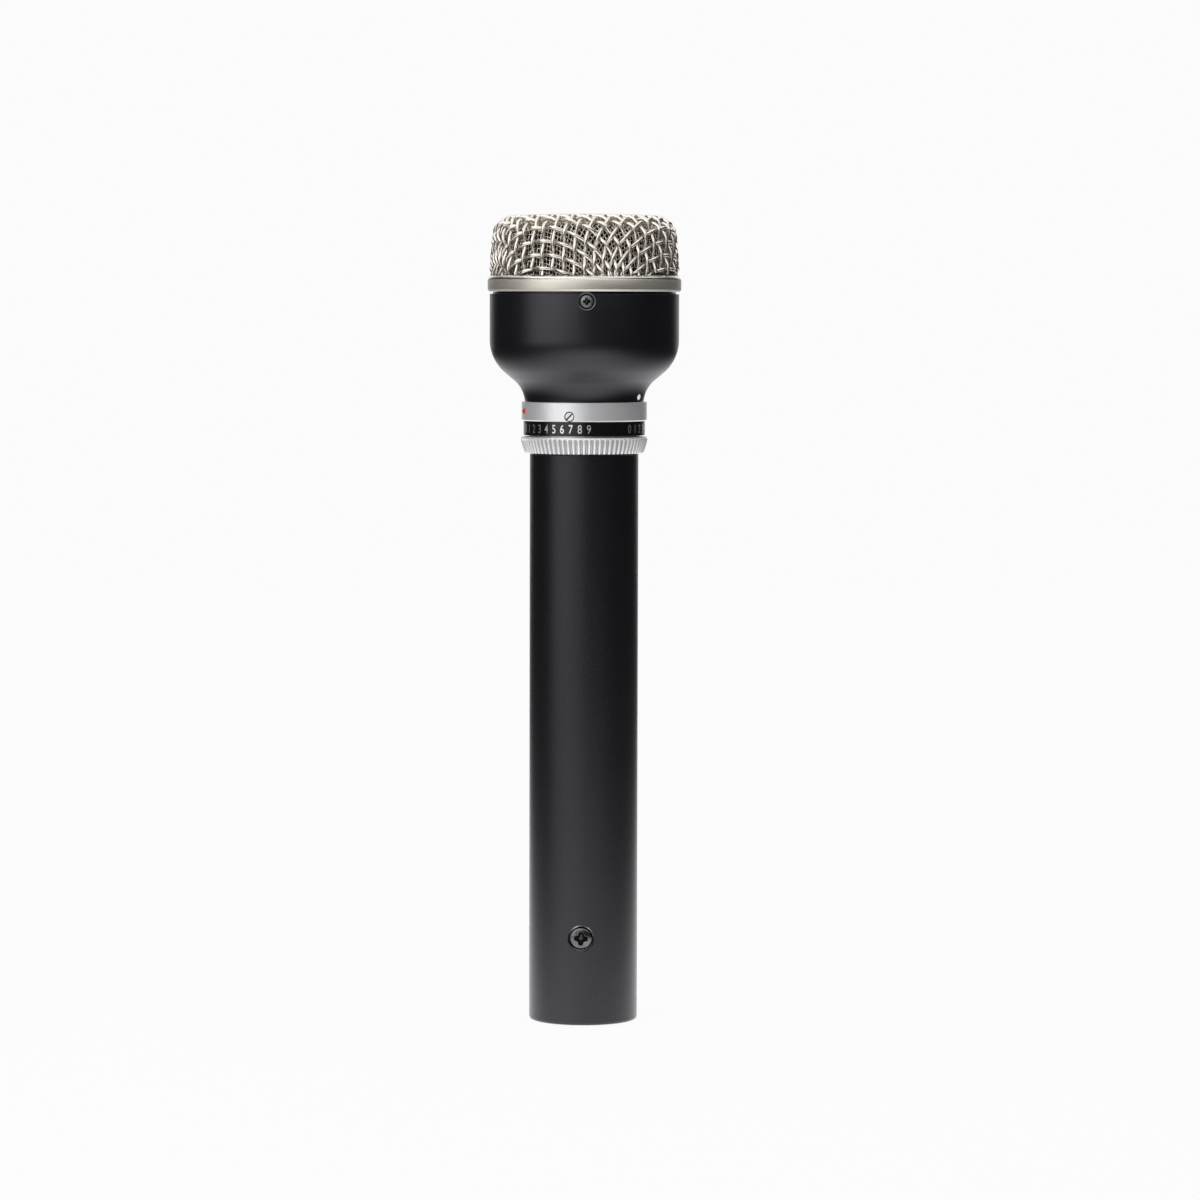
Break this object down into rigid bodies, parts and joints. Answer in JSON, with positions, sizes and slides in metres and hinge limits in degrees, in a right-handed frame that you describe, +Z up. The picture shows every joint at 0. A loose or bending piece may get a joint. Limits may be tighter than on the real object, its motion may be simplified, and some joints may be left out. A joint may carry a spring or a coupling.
{
  "type": "ribbon microphone",
  "caption": "Slim hand-held end-address microphone: woven wire cap on a flared black head, turning dial collar at the neck, straight tube handle with a connector socket.",
  "frame": {"origin": "centre of the handle tube's lower end", "axes": "+Z up the microphone's axis to its wire cap, -Y the side with the connector screw, +X to the right of that side"},
  "size_m": [0.042, 0.042, 0.1755],
  "materials": {
    "powder_coat": "near-black, finely textured powder coat",
    "housing_paint": "satin black paint",
    "nickel": "warm satin nickel",
    "collar_metal": "bright turned aluminium",
    "band_black": "slightly glossy black with a white dial scale",
    "screw_black": "blackened, glossy",
    "bright_steel": "plain bright steel",
    "dark_steel": "dark plated steel",
    "connector_metal": "nickel plated",
    "brass": "plain",
    "foil": "corrugated foil",
    "insulator": "moulded black plastic",
    "rubber": "soft black rubber",
    "cloth": "fine black wind cloth",
    "felt": "grey wool felt",
    "board": "green circuit board",
    "copper": "wound enamelled copper wire",
    "film_capacitor": "dipped red resin",
    "lead_jacket": "grey lead insulation",
    "red_paint": "red paint in a shallow hole",
    "white_paint": "white paint in a shallow hole"
  },
  "bodies": {
    "microphone": {"handle_tube": "powder_coat", "xlr_shell": "connector_metal", "xlr_insert": "insulator", "xlr_pin_1": "connector_metal", "xlr_pin_2": "connector_metal", "xlr_pin_3": "connector_metal", "xlr_screw": "screw_black", "filter_board": "board", "board_holder": "insulator", "filter_choke": "dark_steel", "filter_capacitor": "film_capacitor", "transformer_can": "dark_steel", "transformer_bush": "rubber", "transformer_core": "dark_steel", "transformer_coil": "copper", "neck_sleeve": "dark_steel", "friction_o_ring": "rubber", "track_board": "board", "carrier_snap_ring": "bright_steel", "white_index_dot": "white_paint", "head_housing": "housing_paint", "head_screw_1": "screw_black", "head_screw_2": "screw_black", "head_screw_3": "screw_black", "grille_ring": "nickel", "grille_mesh_outer": "nickel", "grille_mesh_inner": "nickel", "grille_cloth": "cloth", "mesh_clamp_ring": "dark_steel", "motor_base_plate": "dark_steel", "yoke_ring": "dark_steel", "front_baffle": "housing_paint", "motor_screw_1": "bright_steel", "motor_screw_2": "bright_steel", "magnet_1": "bright_steel", "magnet_2": "bright_steel", "pole_piece_1": "dark_steel", "pole_piece_2": "dark_steel", "ribbon": "foil", "clamp_base_1": "insulator", "clamp_base_2": "insulator", "clamp_bar_1": "brass", "clamp_bar_2": "brass", "rear_chamber": "brass", "damping_felt": "felt", "suspension_ring": "rubber", "ribbon_lead_1": "lead_jacket", "ribbon_lead_2": "lead_jacket", "selector_lead": "lead_jacket", "transformer_lead": "lead_jacket", "output_lead": "lead_jacket"},
    "collar": {"collar_core": "collar_metal", "control_ring": "collar_metal", "label_band": "band_black", "grip_ring": "collar_metal", "drive_screw": "bright_steel", "red_index_dot": "red_paint", "wiper_carrier": "insulator", "wiper_finger_1": "brass", "wiper_finger_2": "brass"}
  },
  "joints": [
    {"name": "collar_turn", "type": "hinge", "parent": "microphone", "child": "collar", "pos_m": [0, 0, 0.129], "axis": [0, 0, 1], "range_deg": [-34, 137]}
  ]
}
